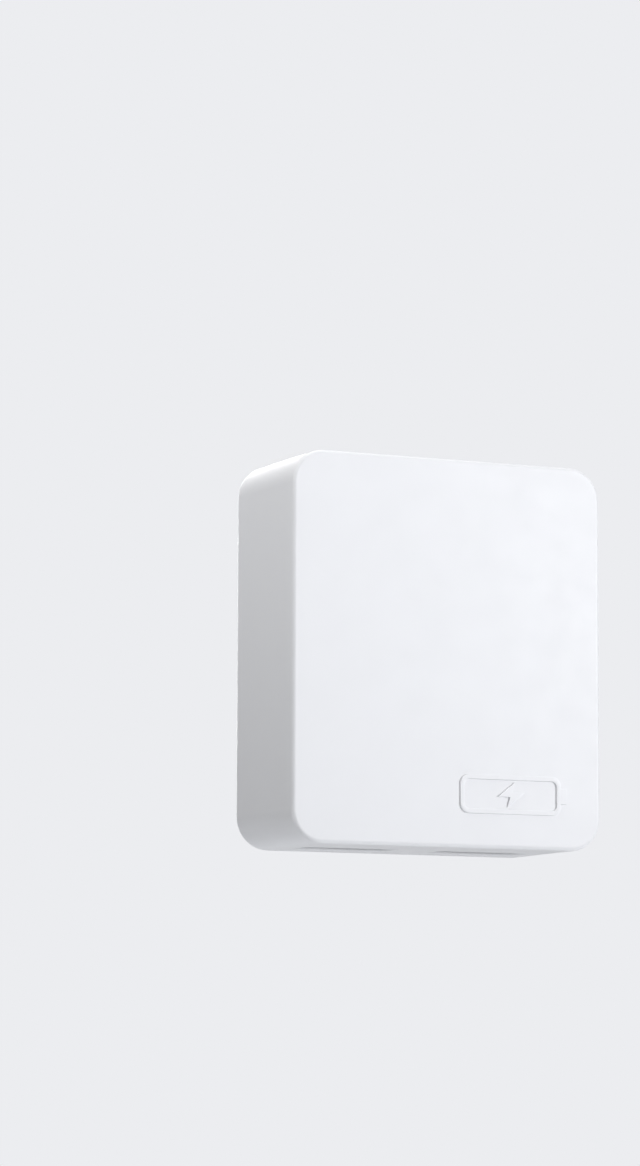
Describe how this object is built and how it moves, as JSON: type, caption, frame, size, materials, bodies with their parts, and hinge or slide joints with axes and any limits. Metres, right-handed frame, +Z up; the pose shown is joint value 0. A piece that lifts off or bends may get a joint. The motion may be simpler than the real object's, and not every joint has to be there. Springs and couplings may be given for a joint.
{
  "type": "usb wall charger",
  "caption": "Slim white wall charger with downward USB-A ports and a flat-blade plug that folds into its rear cover.",
  "frame": {"origin": "on the rear face, midway between the two plug blades", "axes": "+Y into the wall, along the unfolded blades; +Z up; the ports open towards -Z; the front faces -Y"},
  "size_m": [0.043, 0.0337, 0.049],
  "materials": {
    "housing_white": "satin moulded polycarbonate",
    "blade_metal": "nickel-plated brass, polished",
    "black_plastic": "fine matte moulding",
    "carrier_white": "satin moulded nylon",
    "spring_bronze": "bare phosphor bronze",
    "gold_contacts": "gold flash",
    "bright_steel": "nickel-plated steel sheet",
    "board_green": "solder mask over glass-epoxy laminate",
    "ferrite": "sintered ferrite",
    "tape_yellow": "polyester tape",
    "capacitor_sleeve": "shrunk PVC sleeve",
    "capacitor_can": "drawn aluminium can",
    "disc_blue": "dipped epoxy",
    "resistor_body": "flameproof coating",
    "chip_brown": "ceramic chips with tinned ends",
    "opto_white": "white moulding compound",
    "film_amber": "polyimide film"
  },
  "bodies": {
    "charger": {"front_case": "housing_white", "rear_cover": "housing_white", "carrier_retainer_left": "black_plastic", "carrier_retainer_right": "black_plastic", "retainer_screws": "bright_steel", "detent_spring": "bright_steel", "contact_spring_left": "spring_bronze", "contact_spring_right": "spring_bronze", "main_board": "board_green", "fuse_resistor": "resistor_body", "bridge_rectifier": "black_plastic", "bulk_capacitor_large": "capacitor_sleeve", "bulk_capacitor_small": "capacitor_sleeve", "filter_choke": "ferrite", "transformer_core": "ferrite", "transformer_bobbin": "black_plastic", "transformer_winding": "tape_yellow", "transformer_pins": "bright_steel", "controller_ic": "black_plastic", "snubber_diode": "black_plastic", "y_capacitor": "disc_blue", "optocoupler": "opto_white", "output_rectifier": "black_plastic", "output_capacitor_upper": "capacitor_can", "output_capacitor_lower": "capacitor_can", "port_ic": "black_plastic", "chip_resistors": "black_plastic", "chip_capacitors": "chip_brown", "usb_shell_left": "bright_steel", "usb_shell_right": "bright_steel", "usb_insulator_left": "black_plastic", "usb_insulator_right": "black_plastic", "usb_contacts_left": "gold_contacts", "usb_contacts_right": "gold_contacts", "insulation_sheet": "film_amber"},
    "plug": {"blade_left": "blade_metal", "blade_right": "blade_metal", "blade_carrier": "carrier_white"}
  },
  "joints": [
    {"name": "plug_fold", "type": "hinge", "parent": "charger", "child": "plug", "pos_m": [0, -0.0042, 0], "axis": [-1, 0, 0], "range_deg": [0, 90]}
  ]
}
